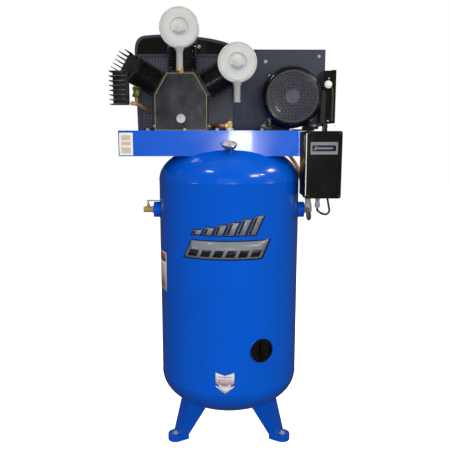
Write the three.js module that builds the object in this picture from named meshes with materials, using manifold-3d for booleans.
// A two-stage air compressor on a vertical tank: a three-cylinder pump and an electric motor stand on a deck
// over the tank, joined by a belt drive in a guard, with a starter box hung on the deck's right end.
// Millimetres, +Z up. The tank's own axis is the design's reference: X to the right, Y away from the front.
import * as THREE from "three";
import { mergeVertices } from "three/addons/utils/BufferGeometryUtils.js";
import Module from "manifold-3d";

const wasm = await Module();
wasm.setup();

// ---- Driving dimensions ----
const GAP = 0.3; // clearance between pieces that touch
const TANK_AXIS = { x: 13, y: -2 }; // where the tank's axis stands in the part's frame

const TANK_RADIUS = 305;
const TANK_WALL = 5;
const HEAD_DEPTH = 158; // height of each dished head
const BELLY_LOW = 286; // where the straight shell starts
const BELLY_HIGH = 1158; // where the straight shell ends
const TANK_FACETS = 32;

const LEG_ANGLES = { leg_front_left: 210, leg_front_right: 330, leg_rear: 90 };
const LEG_WIDTH = 70;
const LEG_SHEET = 5;
const PAD_RADIUS = 34;
const PAD_CENTRE = 275; // distance of the foot bolt from the tank's axis
const PAD_HEIGHT = 27;
const FOOT_BOLT_RADIUS = 8;

const DECK = { left: -450, right: 289, front: -178, back: 100, low: 1260, top: 1363, sheet: 5, corner: 14 };
const PORT_HEIGHT = 1020; // height of the side ports
const PORT_RADIUS = 34;
const PORT_BORE = 26;
const PORT_REACH = 331; // how far a side port stands out from the tank's axis

const HAND_HOLE = { angle: -64.4, z: 473, bore: 40 };
const REAR_PORT = { angle: 38, z: 1085 };
const GAUGE = { y: -200, tilt: 66 };
const DRAIN = { y: 110, root: 156, low: 102, handle: 116 };
const BULKHEAD = { x: 2, y: -120 }; // where the discharge pipe passes through the deck

const CRANK = { x: -196, z: 1495 };
const CASE_APOTHEM = 96; // crank axis to each cylinder face
const CASE_HALF_WIDTH = 106;
const CASE_FRONT = -150;
const CASE_BACK = 60;
const COVER_THICKNESS = 14;
const CASE_WALL = 11;
const CASE_LOW = DECK.top - CRANK.z + GAP;
const JOURNAL_RADIUS = 20;
const SIGHT = { z: -84, radius: 18 };
const FILLER_Y = -124;
const BANK_ANGLE = 60;
const STROKE_RADIUS = 35;
const ROD_LENGTH = 150;
const CYLINDER_TOP = 215;
const HEAD_TOP = 309;
const FILTER_REACH = 262; // crank axis to a filter's centre
const FILTER_RADIUS = 78;
const BANKS = [
  { side: "left", angle: -BANK_ANGLE, y: -65, bore: 30, barrel: 42, fins: 58, half: 56 },
  { side: "center", angle: 0, y: -45, bore: 42, barrel: 51, fins: 64, half: 62 },
  { side: "right", angle: BANK_ANGLE, y: -25, bore: 42, barrel: 51, fins: 64, half: 62 },
];

const WHEEL_RADIUS = 205;
const SHEAVE_RADIUS = 98;
const GROOVE_DEPTH = 14;
const GROOVE_PLACES = [150, 172]; // belt centre lines along Y
const GROOVE_WIDTH = 18;
const BELT_WIDTH = 16;
const RIM_HALF = 24; // half the width of the flywheel's rim and of the motor's sheave
const RIM_MIDDLE = (GROOVE_PLACES[0] + GROOVE_PLACES[1]) / 2;

const MOTOR = { x: 255, z: 1498 };
const MOTOR_RADIUS = 112;
const COWL_RADIUS = 127;
const SHAFT_RADIUS = 14;
const BASE_TOP = DECK.top + GAP + 6;
const MOTOR_DROP = MOTOR.z - BASE_TOP - GAP; // from the shaft down to the feet

const BOX = {
  left: 309,
  right: 456,
  front: -180,
  back: -10,
  low: 1088,
  top: 1361,
  lip: 22,
  sheet: 3,
  corner: 9,
};
const STARTER = { x: 382, front: -112, back: BOX.back - BOX.sheet - GAP, relayLow: 1128, relayTop: 1196 };
const RESET_Z = 1150;
const GLANDS = { y: -95, low: 1041 + GAP, places: [{ x: 334, radius: 11 }, { x: 376, radius: 9 }] };
const GUARD = { front: 110, back: 260, sheet: 2 };

const PIPE_RADIUS = 8;
const INTERCOOLER = { left: -478, right: -401, front: -186, back: -126, low: 1461, top: 1597 };
const SWITCH = { reach: 372, low: 34, relief: 327 };

// ---- Finishes ----
const finish = (color, roughness, metalness) =>
  new THREE.MeshStandardMaterial({ color, roughness, metalness });
const MATERIALS = {
  blue: finish(0x0a4fd0, 0.25, 0.1),
  iron: finish(0x17181a, 0.45, 0.3),
  guard: finish(0x33363f, 0.5, 0.2),
  black: finish(0x121314, 0.3, 0.1),
  steel: finish(0x9a9ca0, 0.35, 0.9),
  brass: finish(0xb08a3c, 0.3, 0.9),
  copper: finish(0xb4623a, 0.3, 0.9),
  aluminium: finish(0xa8abad, 0.4, 0.8),
  milky: finish(0xe9ecee, 0.5, 0),
  glass: finish(0xdfe8ea, 0.05, 0),
  rubber: finish(0x1b1b1c, 0.8, 0),
  red: finish(0xb02020, 0.4, 0),
};

// ---- Shape helpers ----
const radians = THREE.MathUtils.degToRad;

/** A closed geometry as a solid that can be joined and cut. */
function solidOf(geometry) {
  const bare = new THREE.BufferGeometry();
  bare.setAttribute("position", geometry.getAttribute("position"));
  bare.setIndex(geometry.index);
  const merged = mergeVertices(bare, 1e-4);
  const index = merged.index.array;
  const corners = [];
  for (let i = 0; i < index.length; i += 3) {
    const [a, b, c] = index.subarray(i, i + 3);
    if (a !== b && b !== c && c !== a) corners.push(a, b, c);
  }
  const vertProperties = merged.attributes.position.array;
  return new wasm.Manifold(new wasm.Mesh({ numProp: 3, vertProperties, triVerts: new Uint32Array(corners) }));
}

/** A solid back as a geometry. */
function geometryOf(solid) {
  const { vertProperties, triVerts } = solid.getMesh();
  const geometry = new THREE.BufferGeometry();
  geometry.setAttribute("position", new THREE.BufferAttribute(vertProperties, 3));
  geometry.setIndex(new THREE.BufferAttribute(triVerts, 1));
  geometry.computeVertexNormals();
  return geometry;
}

const join = (...pieces) => geometryOf(pieces.map(solidOf).reduce((all, piece) => all.add(piece)));
const cut = (base, ...tools) =>
  geometryOf(tools.map(solidOf).reduce((rest, tool) => rest.subtract(tool), solidOf(base)));

/** A box between two corners. */
function block(x0, x1, y0, y1, z0, z1) {
  const box = new THREE.BoxGeometry(x1 - x0, y1 - y0, z1 - z0);
  return box.translate((x0 + x1) / 2, (y0 + y1) / 2, (z0 + z1) / 2);
}

/** A round bar from z0 to z1 on the Z axis. */
function bar(radius, z0, z1, sides = 16) {
  const cylinder = new THREE.CylinderGeometry(radius, radius, z1 - z0, sides);
  return cylinder.rotateX(Math.PI / 2).translate(0, 0, (z0 + z1) / 2);
}

const ring = (outer, inner, z0, z1, sides = 24) =>
  cut(bar(outer, z0, z1, sides), bar(inner, z0 - 1, z1 + 1, sides));

/** A turned solid about the Z axis: the profile holds [radius, height] pairs and ends where it started. */
function turned(profile, sides = 24) {
  const points = profile.map(([radius, height]) => new THREE.Vector2(radius, height));
  return new THREE.LatheGeometry(points, sides).rotateX(Math.PI / 2);
}

const alongY = (geometry) => geometry.rotateX(-Math.PI / 2);
const alongX = (geometry) => geometry.rotateY(Math.PI / 2);

/** An outline of [x, z] points, pulled from y0 to y1. */
function slab(outline, y0, y1) {
  const shape = outline instanceof THREE.Shape ? outline : outlineOf(outline);
  const pulled = new THREE.ExtrudeGeometry(shape, { depth: y1 - y0, bevelEnabled: false, curveSegments: 6 });
  return pulled.rotateX(Math.PI / 2).translate(0, y1, 0);
}

/** An outline of [x, y] points, pulled from z0 to z1. */
function plate(outline, z0, z1) {
  const shape = outline instanceof THREE.Shape ? outline : outlineOf(outline);
  const pulled = new THREE.ExtrudeGeometry(shape, { depth: z1 - z0, bevelEnabled: false, curveSegments: 4 });
  return pulled.translate(0, 0, z0);
}

const outlineOf = (points) => new THREE.Shape(points.map(([x, y]) => new THREE.Vector2(x, y)));

/** A rectangle with round corners. */
function roundedRectangle(x0, x1, y0, y1, radius) {
  const shape = new THREE.Shape();
  shape.moveTo(x0 + radius, y0);
  shape.lineTo(x1 - radius, y0);
  shape.absarc(x1 - radius, y0 + radius, radius, -Math.PI / 2, 0);
  shape.absarc(x1 - radius, y1 - radius, radius, 0, Math.PI / 2);
  shape.absarc(x0 + radius, y1 - radius, radius, Math.PI / 2, Math.PI);
  shape.absarc(x0 + radius, y0 + radius, radius, Math.PI, 1.5 * Math.PI);
  return shape;
}

/** A round tube along a smooth curve through hand-placed points. */
function tube(points, radius, steps = 24, sides = 8) {
  const path = new THREE.CatmullRomCurve3(points.map((p) => new THREE.Vector3(...p)), false, "centripetal");
  const section = new THREE.Shape();
  section.absarc(0, 0, radius, 0, 2 * Math.PI);
  return new THREE.ExtrudeGeometry(section, { steps, extrudePath: path, curveSegments: sides / 2 });
}

/** A group at a place, turned about one axis. */
function groupAt(x, y, z, parent) {
  const group = new THREE.Group();
  group.position.set(x, y, z);
  parent.add(group);
  return group;
}

/** A named piece in a group. */
function add(parent, name, geometry, material) {
  const mesh = new THREE.Mesh(geometry, MATERIALS[material]);
  mesh.name = name;
  parent.add(mesh);
  return mesh;
}

const part = new THREE.Group();
const machine = groupAt(TANK_AXIS.x, TANK_AXIS.y, 0, part);

// ---- Tank ----
/** The tank's outline from its lowest point to its highest, grown by a margin. */
function tankOutline(margin) {
  const radius = TANK_RADIUS + margin;
  const depth = HEAD_DEPTH + margin;
  const outline = [];
  const steps = 6;
  for (let i = 0; i <= steps; i++) {
    const turn = (i / steps) * (Math.PI / 2);
    outline.push([radius * Math.sin(turn), BELLY_LOW - depth * Math.cos(turn)]);
  }
  for (let i = 0; i <= steps; i++) {
    const turn = (i / steps) * (Math.PI / 2);
    outline.push([radius * Math.cos(turn), BELLY_HIGH + depth * Math.sin(turn)]);
  }
  return outline;
}

const tankSolid = (margin) => turned(tankOutline(margin), TANK_FACETS);

/** Turns a geometry, drawn with +X away from the tank's axis, to an angle round the tank. */
const roundTank = (geometry, degrees) => geometry.rotateZ(radians(degrees));

const gaugeSeat = BELLY_HIGH + HEAD_DEPTH * Math.sqrt(1 - (GAUGE.y / TANK_RADIUS) ** 2);

/** A side port's round hole through the shell. */
const portHole = (radius, z, degrees, sides) =>
  roundTank(alongX(bar(radius, 200, 400, sides)).translate(0, 0, z), degrees);

function tankShell() {
  return cut(
    tankSolid(0),
    tankSolid(-TANK_WALL),
    portHole(PORT_RADIUS + GAP, PORT_HEIGHT, 0, 28),
    portHole(PORT_RADIUS + GAP, PORT_HEIGHT, 180, 28),
    portHole(PORT_RADIUS - 10, REAR_PORT.z, REAR_PORT.angle, 20),
    portHole(HAND_HOLE.bore + 9 + GAP, HAND_HOLE.z, HAND_HOLE.angle, 32),
    bar(9.5 + GAP, 100, 200, 16).translate(0, DRAIN.y, 0),
  );
}

/** One folded leg, +X outwards: its web is outside and its two sides run in to the bottom head. */
function leg() {
  const half = LEG_WIDTH / 2;
  const side = [[262, 8], [266, PAD_HEIGHT - 4], [221, 196], [130, 196], [130, 140], [238, 8]];
  const inside = [[255, 0], [260, PAD_HEIGHT - 4], [214, 200], [100, 200], [100, 100], [222, 0]];
  const channel = cut(slab(side, -half, half), slab(inside, LEG_SHEET - half, half - LEG_SHEET));
  const shelf = block(226, 262, -half, half, PAD_HEIGHT - LEG_SHEET, PAD_HEIGHT);
  const tongue = (radius, z0, z1, inner) => {
    const tip = bar(radius, z0, z1, 28).translate(PAD_CENTRE, 0, 0);
    return join(tip, block(inner, PAD_CENTRE, -radius, radius, z0, z1));
  };
  const pad = cut(
    tongue(PAD_RADIUS, 0, PAD_HEIGHT, 226),
    tongue(PAD_RADIUS - LEG_SHEET, -1, PAD_HEIGHT - LEG_SHEET, 220),
    bar(FOOT_BOLT_RADIUS, 0, 50, 12).translate(PAD_CENTRE, 0, 0),
  );
  return join(channel, shelf, pad);
}

function deckPan() {
  const { left, right, front, back, low, top, sheet, corner } = DECK;
  const outside = plate(roundedRectangle(left, right, front, back, corner), low, top);
  const inside = plate(
    roundedRectangle(left + sheet, right - sheet, front + sheet, back - sheet, corner - sheet),
    low - 1,
    top - sheet,
  );
  return cut(outside, inside, tankSolid(GAP), bar(12, low, top + 10).translate(BULKHEAD.x, BULKHEAD.y, 0));
}

/** A half coupling welded in a side port, in its own frame along +X. */
const coupling = () => alongX(ring(PORT_RADIUS, PORT_BORE, 292, PORT_REACH, 28)).translate(0, 0, PORT_HEIGHT);

// ---- Hand hole, drain and gauge ----
function handHoleRing() {
  return alongX(ring(HAND_HOLE.bore + 9, HAND_HOLE.bore, 292, 313, 32));
}

function handHoleCover() {
  return alongX(join(bar(HAND_HOLE.bore - 1, 294, 306, 32), bar(7, 305, 321, 12)));
}

function handHoleYoke() {
  const bridge = block(307, 314, -8, 8, -37, 37);
  return cut(bridge, alongX(bar(7 + GAP, 290, 330, 12)));
}

/** The drain cock under the bottom head, in its own frame about its vertical axis. */
function drainBody() {
  const stem = join(bar(9.5, DRAIN.low + 20, DRAIN.root, 16), bar(8, DRAIN.low, DRAIN.low + 22, 16));
  const spindleHole = alongY(bar(2.8, -12, 12, 12)).translate(0, 0, DRAIN.handle);
  return cut(stem, bar(3, DRAIN.low - 1, DRAIN.root + 1, 10), spindleHole);
}

function drainHandle() {
  const spindle = alongY(bar(2.4, 0, 18, 10));
  const tee = block(-13, 13, 15, 19, -3.5, 3.5);
  return join(spindle, tee).translate(0, 0, DRAIN.handle);
}

/** The gauge's case along +Z: a nipple, a tapering bowl and a rim round the dial. */
function gaugeCase() {
  const outside = [[0, -14], [7, -14], [7, 4], [12, 4], [27, 24], [30.5, 27], [30.5, 37]];
  const recess = [[28, 37], [28, 30], [0, 30]];
  return turned([...outside, ...recess], 28);
}

function gaugeNeedle() {
  const blade = plate([[-2.2, -8], [2.2, -8], [0.8, 22], [-0.8, 22]], 31.4, 32.6);
  return join(blade, bar(3, 30.4, 33.4, 10)).rotateZ(radians(135));
}

const gaugeLens = () => bar(27.6, 34.2, 36, 28);

// ---- Valves and switch ----
/** A ball valve's body along +X, from the coupling outwards, with its ball's chamber and its stem's hole. */
function ballValveBody() {
  const body = join(bar(PORT_BORE - GAP, 300, 332, 20), bar(17, 331, 339, 6), bar(13, 338, 378, 16));
  const outline = alongX(body);
  const chamber = alongX(bar(10.4, 346, 368, 16));
  const bore = alongX(bar(6, 290, 390, 12));
  const neck = bar(8, 0, 22, 12).translate(357, 0, 0);
  return cut(join(outline, neck), chamber, bore, bar(4, 0, 30, 12).translate(357, 0, 0));
}

/** The ball, its stem and the lever that turns it. */
function ballValveLever() {
  const ball = new THREE.SphereGeometry(10, 12, 8).translate(357, 0, 0);
  const stem = bar(3.6, 0, 38, 12).translate(357, 0, 0);
  const arm = block(308, 364, -7, 7, 37, 41);
  return cut(join(ball, stem, arm), alongX(bar(5, 340, 375, 10)));
}

function checkValve() {
  const body = join(
    alongX(bar(PORT_BORE - GAP, 300, 332, 20)),
    alongX(bar(17, 331, 342, 6)),
    alongX(bar(13, 341, 366, 16)),
    bar(11, 0, 26, 12).translate(355, 0, 0),
  );
  return cut(body, alongX(bar(5, 290, 356, 10)), bar(6, 0, 40, 10).translate(355, 0, 0));
}

/** A brass cross screwed into the rear port: +X away from the tank, its upper arm to the switch. */
function pressureManifold() {
  const run = alongX(bar(12, 302, 392, 12));
  const riser = bar(9, 0, SWITCH.low, 12).translate(SWITCH.reach, 0, 0);
  const branch = bar(9, 0, 18, 12).translate(SWITCH.relief, 0, 0);
  const collar = alongX(bar(PORT_RADIUS, 306, 318, 24));
  return join(run, riser, branch, collar);
}

function pressureSwitch() {
  const base = block(342, 402, -32, 32, SWITCH.low + 12, SWITCH.low + 62);
  const diaphragm = bar(24, SWITCH.low + GAP, SWITCH.low + 13, 20).translate(SWITCH.reach, 0, 0);
  const slot = block(380, 396, 26, 40, SWITCH.low + 40, SWITCH.low + 56);
  return cut(join(base, diaphragm), slot);
}

/** The on and off lever at the side of the pressure switch. */
function unloaderLever() {
  const hub = alongY(bar(4, 27, 34, 12)).translate(388, 0, SWITCH.low + 48);
  const arm = block(385.5, 390.5, 33, 37, SWITCH.low + 46, SWITCH.low + 76);
  return join(hub, arm);
}

function reliefValve() {
  const body = join(bar(8, 18 + GAP, 30, 6), bar(6.5, 29, 52, 12));
  return cut(body, bar(2.2, 36, 60, 10)).translate(SWITCH.relief, 0, 0);
}

function reliefRing() {
  const loop = alongY(ring(9, 6.5, -1, 1, 16)).translate(0, 0, 66);
  return join(loop, bar(1.8, 44, 58.5, 8)).translate(SWITCH.relief, 0, 0);
}

// ---- Pipework ----

/** The intercooler's outlet pipe, which passes behind the crankcase to the fitting on the deck. */
function dischargeUpper() {
  const run = tube(
    [
      [INTERCOOLER.right + 3, -150, 1472],
      [-376, -149, 1469],
      [-352, -90, 1454],
      [-328, 20, 1438],
      [-306, 74, 1424],
      [-250, 84, 1412],
      [-150, 84, 1400],
      [-88, 74, 1390],
      [-60, 20, 1385],
      [-45, -60, 1383],
      [-30, -112, 1383],
      [BULKHEAD.x, BULKHEAD.y, 1383],
    ],
    PIPE_RADIUS,
    28,
  );
  const nut = bar(15, DECK.top + GAP, DECK.top + 9, 6).translate(BULKHEAD.x, BULKHEAD.y, 0);
  const elbow = bar(11, DECK.top + 8, 1400, 12).translate(BULKHEAD.x, BULKHEAD.y, 0);
  const leg = block(-381, -367, -158, -142, 1464, 1500);
  const union = block(-394, -360, -164, -136, 1498, 1536);
  return join(run, nut, elbow, leg, union);
}

/** The pipe from the deck's fitting, over the tank's shoulder, down to the check valve. */
function dischargeLower() {
  return tube(
    [
      [BULKHEAD.x, BULKHEAD.y, DECK.top - 1],
      [BULKHEAD.x + 4, BULKHEAD.y, 1338],
      [60, -112, 1330],
      [150, -60, 1322],
      [225, -5, 1296],
      [279, 14, 1241],
      [310, 15, 1190],
      [322, 14, 1140],
      [338, 8, 1090],
      [352, 1, 1072],
      [355, 0, 1058],
      [355, 0, PORT_HEIGHT + 26 + 2 * GAP],
    ],
    PIPE_RADIUS,
    24,
  );
}

/** The flexible conduit from the starter box's gland to the pressure switch. */
function switchConduit() {
  return tube(
    [
      [334, -95, 1040.5],
      [334, -95, 1020],
      [338, -82, 997],
      [350, -40, 982],
      [362, 10, 985],
      [366, 60, 1012],
      [360, 110, 1072],
      [348, 146, 1130],
      [336, 174, 1152],
      [324, 189.5, 1156],
      [313.5, 203.1, 1156],
    ],
    6,
    24,
  );
}

/** The control cable that loops from the second gland to the back of the starter box. */
function controlCable() {
  return tube(
    [
      [376, -95, 1040.5],
      [376, -95, 1030],
      [396, -88, 1014],
      [420, -70, 1008],
      [438, -40, 1018],
      [440, -8, 1040],
      [436, 12, 1080],
      [431, 16, 1108],
      [425, 8, 1124],
      [424, BOX.back + 1, 1126],
    ],
    4.5,
    22,
  );
}

// ---- Pump, in a frame with the crankshaft's axis as its Y axis ----
/** The crankcase's outline: three faces for the cylinders over two upright sides. */
function caseOutline(apothem, halfWidth, low) {
  const topHalf = apothem * Math.tan(radians(BANK_ANGLE / 2));
  const shoulder = (apothem - halfWidth * Math.sin(radians(BANK_ANGLE))) / Math.cos(radians(BANK_ANGLE));
  return [
    [-halfWidth, low],
    [halfWidth, low],
    [halfWidth, shoulder],
    [topHalf, apothem],
    [-topHalf, apothem],
    [-halfWidth, shoulder],
  ];
}

function crankcase() {
  const front = CASE_FRONT + COVER_THICKNESS + GAP;
  const shell = slab(caseOutline(CASE_APOTHEM, CASE_HALF_WIDTH, CASE_LOW), front, CASE_BACK);
  const footReach = CASE_HALF_WIDTH + 12;
  const foot = block(-footReach, footReach, front + 10, CASE_BACK, CASE_LOW, CASE_LOW + 14);
  const housing = alongY(bar(52, CASE_BACK - 2, 95, 24));
  const chamber = slab(
    caseOutline(CASE_APOTHEM - CASE_WALL, CASE_HALF_WIDTH - CASE_WALL, CASE_LOW + CASE_WALL),
    front - 1,
    CASE_BACK - CASE_WALL,
  );
  const bearing = alongY(bar(JOURNAL_RADIUS + 1, 0, 100, 24));
  const fillerHole = bar(5, 60, 120, 10).translate(0, FILLER_Y, 0);
  const bores = BANKS.map(({ angle, y, bore }) =>
    bar(bore + 6, 60, 120, 20).translate(0, y, 0).rotateY(radians(angle)),
  );
  return cut(join(shell, foot, housing), chamber, bearing, fillerHole, ...bores);
}

/** The cast front cover with the front bearing's boss on its inner side. */
function frontCover() {
  const back = CASE_FRONT + COVER_THICKNESS;
  const face = slab(caseOutline(CASE_APOTHEM, CASE_HALF_WIDTH, CASE_LOW), CASE_FRONT, back);
  const boss = alongY(bar(34, back - 1, -112, 24));
  const seat = alongY(bar(JOURNAL_RADIUS + 1, back - 4, -100, 24));
  return cut(join(face, boss), seat, alongY(bar(SIGHT.radius - 3, -200, 0, 16)).translate(0, 0, SIGHT.z));
}

function sightGlass() {
  const bezel = alongY(bar(SIGHT.radius, CASE_FRONT - 9, CASE_FRONT - GAP, 24));
  const plug = alongY(bar(SIGHT.radius - 3 - GAP, CASE_FRONT - 1, CASE_FRONT + 8, 16));
  const window = alongY(bar(11, CASE_FRONT - 12, CASE_FRONT - 5, 20));
  return cut(join(bezel, plug), window).translate(0, 0, SIGHT.z);
}

/** The oil filler and breather on the crankcase's top face. */
function oilFiller() {
  const cap = join(
    bar(4.6, CASE_APOTHEM - 8, CASE_APOTHEM + 2, 10),
    bar(10, CASE_APOTHEM + GAP, CASE_APOTHEM + 16, 6),
    bar(7, CASE_APOTHEM + 15, CASE_APOTHEM + 22, 12),
  );
  return cap.translate(0, FILLER_Y, 0);
}

/** The crankshaft at rest with its throw straight down. */
function crankshaft() {
  const journal = (y0, y1) => alongY(bar(JOURNAL_RADIUS, y0, y1, 20));
  const pin = alongY(bar(16, -86, -4, 20)).translate(0, 0, -STROKE_RADIUS);
  const web = (y0, y1) =>
    slab([[-24, -56], [24, -56], [30, 0], [58, 20], [40, 50], [-40, 50], [-58, 20], [-30, 0]], y0, y1);
  return join(journal(-128, -90), web(-106, -85), pin, web(-5, 16), journal(10, 206));
}

/** The outer edge of a grooved rim, from one side to the other. */
function groovedEdge(radius) {
  const edge = [[radius, -RIM_HALF]];
  const floor = radius - GROOVE_DEPTH;
  for (const place of GROOVE_PLACES) {
    const low = place - RIM_MIDDLE - GROOVE_WIDTH / 2;
    const high = low + GROOVE_WIDTH;
    edge.push([radius, low], [floor, low], [floor, high], [radius, high]);
  }
  edge.push([radius, RIM_HALF]);
  return edge;
}

/** The flywheel: a grooved rim, six blades as spokes and a hub. */
function flywheel() {
  const inner = WHEEL_RADIUS - 30;
  const edge = groovedEdge(WHEEL_RADIUS);
  const rim = turned([[inner, -RIM_HALF], ...edge, [inner, RIM_HALF], [inner, -RIM_HALF]], 28);
  const spokes = [];
  for (let i = 0; i < 6; i++) {
    const blade = block(30, inner + 5, -16, 16, -9, 9).rotateX(radians(25));
    spokes.push(blade.rotateZ(radians(60 * i)));
  }
  const wheel = join(rim, bar(42, -30, 30, 20), ...spokes);
  return alongY(cut(wheel, bar(JOURNAL_RADIUS + GAP, -40, 40, 20))).translate(0, RIM_MIDDLE, 0);
}

/** A finned cylinder standing along +Z of its bank. */
function cylinder({ y, bore, barrel, fins, half }) {
  const foot = block(-Math.min(half, 54), Math.min(half, 54), -half, half, CASE_APOTHEM + GAP, 109);
  const profile = [[0, 104], [barrel, 104]];
  for (const z of [122, 143, 164, 185]) {
    profile.push([barrel, z], [fins, z + 1], [fins, z + 6], [barrel, z + 7]);
  }
  profile.push([barrel, 205], [fins - 3, 205], [fins - 3, CYLINDER_TOP], [0, CYLINDER_TOP]);
  const body = join(foot, turned(profile, 18));
  return cut(body, bar(bore + GAP, 80, 240, 16)).translate(0, y, 0);
}

/** A cylinder head along +Z of its bank: the valve plate, a deep cover and a comb of cooling blades. */
function cylinderHead({ y, half }) {
  const low = CYLINDER_TOP + GAP;
  const coverTop = 268;
  const blades = 7;
  const side = half - 4;
  const valvePlate = block(-half, half, y - half, y + half, low, low + 10);
  const cover = block(-side, side, y - side, y + side, low + 9, coverTop);
  const comb = [];
  for (let i = 0; i < blades; i++) {
    const centre = -side + (2 * side * i) / (blades - 1);
    const tip = i === 0 || i === blades - 1 ? HEAD_TOP - 16 : HEAD_TOP;
    comb.push(block(centre - 2, centre + 2, y - half, y + half, coverTop - 8, tip));
  }
  return join(valvePlate, cover, ...comb);
}

/** A piston with its pin boss and the upper part of its rod, its pin at a distance from the crank's axis. */
function piston({ y, bore }, pin) {
  const crown = cut(bar(bore, pin - 20, pin + 22, 16), bar(bore - 6, pin - 30, pin + 12, 16));
  const rod = block(-8, 8, -9, 9, pin - 43, pin + 14);
  const wristPin = alongY(bar(9, -bore + 3, bore - 3, 12)).translate(0, 0, pin);
  return join(crown, rod, wristPin).translate(0, y, 0);
}

/** An intake filter: a round canister facing forward, its snorkel below and its neck behind. */
function intakeFilter(tilt, bankY, half) {
  const front = -200;
  const back = -156;
  const face = [[0, 0], [70, 0], [FILTER_RADIUS, 8], [FILTER_RADIUS, back - front], [0, back - front]];
  const canister = alongY(turned(face, 36)).translate(0, front, 0);
  const neck = alongY(bar(16, back - 1, bankY - half - GAP, 16));
  const snorkel = bar(14, -FILTER_RADIUS - 76, -60, 16).translate(0, (front + back) / 2, 0);
  const mouth = bar(11, -FILTER_RADIUS - 80, -FILTER_RADIUS - 4, 16).translate(0, (front + back) / 2, 0);
  const body = cut(join(canister, neck, snorkel), mouth);
  return body.translate(FILTER_REACH * Math.sin(radians(tilt)), 0, FILTER_REACH * Math.cos(radians(tilt)));
}

const HEAD_FRONT = BANKS[0].y - BANKS[0].half; // front face of the left head

/** The intercooler: a core between eight level fins, with an ear that bolts to the left head. */
function intercooler() {
  const { left, right, front, back, low, top } = INTERCOOLER;
  const ear = block(-455, -425, back - 6, HEAD_FRONT - GAP, top - 19, top);
  const core = block(left + 12, right, front + 6, back - 6, low + 3, top - 2);
  const fins = [];
  const pitch = (top - low - 6) / 7;
  for (let i = 0; i < 8; i++) {
    const z = low + 2 + i * pitch;
    fins.push(block(left, right, front, back, z, z + 4));
  }
  return join(core, ear, ...fins);
}

// ---- Motor, in a frame with its shaft along Y ----

function motorFrame() {
  const shell = cut(alongY(bar(MOTOR_RADIUS, -62, 80, 32)), alongY(bar(MOTOR_RADIUS - 14, -50, 68, 32)));
  const bell = alongY(bar(44, 78, 96, 24));
  const feet = [-124, 70].map((x) => block(x, x + 54, -56, 74, -MOTOR_DROP, 12 - MOTOR_DROP));
  const legs = [-92, 78].map((x) => block(x, x + 14, -56, 74, 11 - MOTOR_DROP, -50));
  return cut(join(shell, bell, ...feet, ...legs), alongY(bar(SHAFT_RADIUS + 1, -100, 120, 20)));
}

function motorRotor() {
  return join(alongY(bar(SHAFT_RADIUS, -128, 196, 16)), alongY(bar(70, -40, 58, 24)));
}

function motorFan() {
  const hub = ring(34, SHAFT_RADIUS + GAP, 0, 30, 20);
  const blades = [];
  for (let i = 0; i < 6; i++) blades.push(block(30, 96, -2, 2, 2, 28).rotateZ(radians(60 * i)));
  return alongY(join(hub, ...blades)).translate(0, -112, 0);
}

/** The domed fan cowl with a round air inlet crossed by a grille of bars. */
function fanCowl() {
  const length = 96;
  const sheet = 3;
  const inlet = 104;
  const bars = [];
  for (let i = -3; i <= 3; i++) {
    const z = i * 28;
    const reach = Math.sqrt((inlet + 2) ** 2 - z ** 2);
    bars.push(block(-reach, reach, z - 1.5, z + 1.5, 0.5, 2.5));
  }
  const skin = turned(
    [
      [inlet, 0],
      [108, 0],
      [116, 9],
      [122.5, 34],
      [COWL_RADIUS, length],
      [COWL_RADIUS - sheet, length],
      [119.5, 35],
      [113.2, 10.5],
      [107, sheet],
      [inlet, sheet],
      [inlet, 0],
    ],
    28,
  );
  const upright = block(-1.5, 1.5, -inlet - 2, inlet + 2, 0.5, 2.5);
  return alongY(join(skin, upright, ...bars)).translate(0, -160, 0);
}

function motorSheave() {
  const inner = SHAFT_RADIUS + GAP;
  const profile = [[inner, -RIM_HALF], ...groovedEdge(SHEAVE_RADIUS), [inner, RIM_HALF], [inner, -RIM_HALF]];
  return alongY(turned(profile, 20)).translate(0, RIM_MIDDLE, 0);
}

const motorBase = () => block(140, 360, -64, 84, DECK.top + GAP, BASE_TOP);

/** The terminal box at the motor's right side, with its lid's lip and its neck to the frame. */
function terminalBox() {
  const [left, right, low, top] = [129, 179, -103, 105];
  const box = block(left, right, -118, 40, low, top);
  const lip = block(right - 18, right, -122, 44, low - 2, top + 2);
  const neck = block(MOTOR_RADIUS + GAP, left + 2, -20, 30, -40, 40);
  const nipple = bar(11, DECK.top - 2 - MOTOR.z + GAP, low + 1, 16).translate(142, -98, 0);
  const inside = block(left + 3, right - 3, -115, 37, low + 3, top - 3);
  const bore = bar(7, -200, low + 4, 12).translate(142, -98, 0);
  return cut(join(box, lip, neck, nipple), inside, bore);
}

// ---- Belt drive and guard ----
/** One belt round the flywheel and the sheave: the outline of a loop at a margin over the groove's floor. */
function beltLoop(rise) {
  const big = WHEEL_RADIUS - GROOVE_DEPTH + rise;
  const small = SHEAVE_RADIUS - GROOVE_DEPTH + rise;
  const span = Math.hypot(MOTOR.x - CRANK.x, MOTOR.z - CRANK.z);
  const tilt = Math.atan2(MOTOR.z - CRANK.z, MOTOR.x - CRANK.x);
  const lean = Math.acos((big - small) / span);
  const shape = new THREE.Shape();
  shape.absarc(MOTOR.x, MOTOR.z, small, tilt - lean, tilt + lean);
  shape.absarc(CRANK.x, CRANK.z, big, tilt + lean, tilt + 2 * Math.PI - lean);
  return new THREE.Shape(shape.getPoints(10));
}

/** Both belts with the thin band that joins their backs. */
function beltBand() {
  const half = BELT_WIDTH / 2;
  const inside = slab(beltLoop(4), GROOVE_PLACES[0] - 20, GROOVE_PLACES[1] + 20);
  const belts = GROOVE_PLACES.map((place) => cut(slab(beltLoop(16), place - half, place + half), inside));
  const [first, last] = [GROOVE_PLACES[0] - half, GROOVE_PLACES[1] + half];
  const band = cut(slab(beltLoop(18), first, last), slab(beltLoop(15.5), first - 1, last + 1));
  return join(...belts, band);
}

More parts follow.
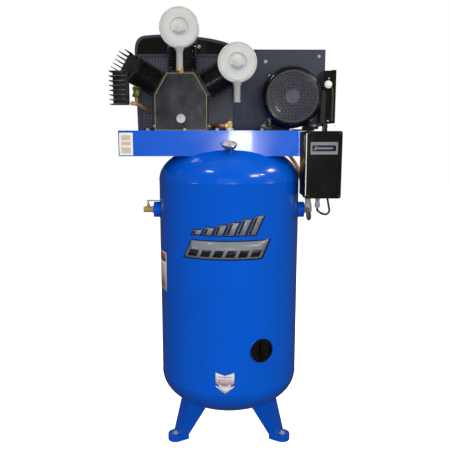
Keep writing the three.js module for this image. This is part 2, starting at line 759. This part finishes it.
/** The guard's outline: an arched bay round the flywheel and a lower, square bay round the sheave. */
function guardOutline(margin) {
  const shape = new THREE.Shape();
  shape.moveTo(-407 + margin, 1262 + margin);
  shape.lineTo(-415.5 + margin, 1712);
  shape.quadraticCurveTo(-415.5 + margin, 1772 - margin, -372, 1776 - margin);
  shape.quadraticCurveTo(-270, 1788 - margin, -130, 1770 - margin);
  shape.quadraticCurveTo(-40, 1760 - margin, 10 - margin, 1738 - margin);
  shape.lineTo(10 - margin, 1717 - margin);
  shape.lineTo(427 - margin, 1717 - margin);
  shape.lineTo(427 - margin, 1385 + margin);
  shape.lineTo(300, 1385 + margin);
  shape.lineTo(100, 1262 + margin);
  shape.closePath();
  return shape;
}

function guardFront() {
  const panel = slab(guardOutline(0), GUARD.front, GUARD.front + GUARD.sheet);
  const crankHole = alongY(bar(40, 0, 200, 24)).translate(CRANK.x, 0, CRANK.z);
  const motorHole = alongY(bar(30, 0, 200, 20)).translate(MOTOR.x, 0, MOTOR.z);
  return cut(panel, crankHole, motorHole, tankSolid(GUARD.sheet));
}

function guardBack() {
  const outside = slab(guardOutline(0), GUARD.front + GUARD.sheet + GAP, GUARD.back);
  return cut(outside, slab(guardOutline(3), GUARD.front, GUARD.back - 3), tankSolid(GUARD.sheet));
}

// ---- Starter box ----
/** The box with its hanger to the deck and the nut plate of its two glands. */
function controlBox() {
  const { left, right, front, back, low, top, lip, sheet, corner } = BOX;
  const seam = front + lip + GAP;
  const outside = slab(roundedRectangle(left, right, low, top, corner), seam, back);
  const inside = slab(
    roundedRectangle(left + sheet, right - sheet, low + sheet, top - sheet, corner - sheet),
    seam - 1,
    back - sheet,
  );
  const hanger = block(DECK.right + GAP, left + 1, -150, -50, 1275, 1345);
  return cut(join(outside, hanger), inside);
}

/** The door: a shallow tray with its hinge on the right. */
function controlCover() {
  const { left, right, front, low, top, lip, sheet, corner } = BOX;
  const outside = slab(roundedRectangle(left, right, low, top, corner), front, front + lip);
  const inside = slab(
    roundedRectangle(left + sheet, right - sheet, low + sheet, top - sheet, corner - sheet),
    front + sheet,
    front + lip + 1,
  );
  return cut(outside, inside);
}

/** The contactor over its overload relay, on the box's back wall. */
function motorStarter() {
  const { x, front, back, relayLow, relayTop } = STARTER;
  const contactor = block(x - 36, x + 36, front, back, relayTop - 1, 1292);
  const nose = block(x - 22, x + 22, front - 14, front + 1, 1212, 1276);
  const relay = block(x - 34, x + 34, front + 12, back, relayLow, relayTop);
  const button = alongY(bar(6.4, front, front + 30, 16)).translate(x - 18, 0, RESET_Z);
  return cut(join(contactor, nose, relay), button);
}

function resetButton() {
  const button = alongY(bar(6, STARTER.front + 6, STARTER.front + 24, 16));
  return button.translate(STARTER.x - 18, 0, RESET_Z);
}

/** The nut plate under the starter box with its two cable glands. */
function glandPlate() {
  const top = BOX.low - GAP;
  const nutPlate = block(314, 396, GLANDS.y - 18, GLANDS.y + 18, top - 3, top);
  const glands = GLANDS.places.map(({ x, radius }) =>
    join(
      bar(radius + 3, top - 12, top - 2, 6),
      bar(radius, GLANDS.low + 16, top - 11, 16),
      bar(radius + 2, GLANDS.low, GLANDS.low + 18, 10),
    ).translate(x, GLANDS.y, 0),
  );
  return join(nutPlate, ...glands);
}

// ---- Assembly ----
function addTank() {
  add(machine, "tank_shell", tankShell(), "blue");
  for (const [name, degrees] of Object.entries(LEG_ANGLES)) {
    add(machine, name, cut(roundTank(leg(), degrees), tankSolid(GAP)), "blue");
  }
  add(machine, "deck", deckPan(), "blue");
  add(machine, "coupling_right", coupling(), "blue");
  add(machine, "coupling_left", roundTank(coupling(), 180), "blue");

  const handHole = groupAt(0, 0, HAND_HOLE.z, machine);
  handHole.rotation.z = radians(HAND_HOLE.angle);
  add(handHole, "hand_hole_ring", handHoleRing(), "blue");
  add(handHole, "hand_hole_cover", handHoleCover(), "iron");
  add(handHole, "hand_hole_yoke", handHoleYoke(), "steel");

  const drain = groupAt(0, DRAIN.y, 0, machine);
  add(drain, "drain_valve_body", drainBody(), "brass");
  add(drain, "drain_handle", drainHandle(), "brass");

  const gauge = groupAt(0, GAUGE.y, gaugeSeat, machine);
  gauge.rotation.x = radians(90 - GAUGE.tilt);
  add(gauge, "gauge_case", cut(gaugeCase(), tankInGaugeFrame()), "iron");
  add(gauge, "gauge_needle", gaugeNeedle(), "black");
  add(gauge, "gauge_lens", gaugeLens(), "glass");
}

/** The tank as the gauge's own frame sees it. */
function tankInGaugeFrame() {
  return tankSolid(GAP).translate(0, -GAUGE.y, -gaugeSeat).rotateX(-radians(90 - GAUGE.tilt));
}

function addValves() {
  const left = groupAt(0, 0, PORT_HEIGHT, machine);
  left.rotation.z = Math.PI;
  add(left, "ball_valve_body", ballValveBody(), "brass");
  add(left, "ball_valve_lever", ballValveLever(), "black");

  const right = groupAt(0, 0, PORT_HEIGHT, machine);
  add(right, "check_valve", checkValve(), "brass");

  const rear = groupAt(0, 0, REAR_PORT.z, machine);
  rear.rotation.z = radians(REAR_PORT.angle);
  add(rear, "pressure_manifold", pressureManifold(), "brass");
  add(rear, "pressure_switch", pressureSwitch(), "black");
  add(rear, "unloader_lever", unloaderLever(), "red");
  add(rear, "relief_valve", reliefValve(), "brass");
  add(rear, "relief_ring", reliefRing(), "steel");
}

function addPipes() {
  add(machine, "discharge_pipe_upper", dischargeUpper(), "copper");
  add(machine, "discharge_pipe_lower", dischargeLower(), "copper");
  add(machine, "switch_conduit", switchConduit(), "steel");
  add(machine, "control_cable", controlCable(), "rubber");
}

function addPump() {
  const pump = groupAt(CRANK.x, 0, CRANK.z, machine);
  add(pump, "crankcase", crankcase(), "iron");
  add(pump, "front_cover", frontCover(), "iron");
  add(pump, "sight_glass", sightGlass(), "steel");
  add(pump, "oil_filler", oilFiller(), "brass");
  add(pump, "crankshaft", crankshaft(), "steel");
  add(pump, "flywheel", flywheel(), "iron");
  for (const bank of BANKS) {
    const group = groupAt(0, 0, 0, pump);
    group.rotation.y = radians(bank.angle);
    const throwTurn = radians(180 - Math.abs(bank.angle));
    const along = STROKE_RADIUS * Math.cos(throwTurn);
    const across = STROKE_RADIUS * Math.sin(throwTurn);
    const pin = along + Math.sqrt(ROD_LENGTH ** 2 - across ** 2);
    add(group, "cylinder_" + bank.side, cylinder(bank), "iron");
    add(group, "head_" + bank.side, cylinderHead(bank), "iron");
    add(group, "piston_" + bank.side, piston(bank, pin), "aluminium");
  }
  const [, centre, right] = BANKS;
  add(pump, "filter_center", intakeFilter(centre.angle, centre.y, centre.half), "milky");
  add(pump, "filter_right", intakeFilter(right.angle, right.y, right.half), "milky");
  add(machine, "intercooler", intercooler(), "iron");
}

function addMotor() {
  const motor = groupAt(MOTOR.x, 0, MOTOR.z, machine);
  add(motor, "motor_frame", motorFrame(), "black");
  add(motor, "motor_rotor", motorRotor(), "steel");
  add(motor, "motor_fan", motorFan(), "black");
  add(motor, "fan_cowl", fanCowl(), "black");
  add(motor, "motor_sheave", motorSheave(), "iron");
  add(motor, "terminal_box", terminalBox(), "black");
  add(machine, "motor_base", motorBase(), "black");
}

function addDrive() {
  add(machine, "belt_band", beltBand(), "rubber");
  add(machine, "belt_guard_front", guardFront(), "guard");
  add(machine, "belt_guard_back", guardBack(), "guard");
}

function addControls() {
  add(machine, "control_box", controlBox(), "black");
  add(machine, "control_cover", controlCover(), "black");
  add(machine, "motor_starter", motorStarter(), "black");
  add(machine, "reset_button", resetButton(), "red");
  add(machine, "gland_plate", glandPlate(), "steel");
}

addTank();
addValves();
addPipes();
addPump();
addMotor();
addDrive();
addControls();

export default part;
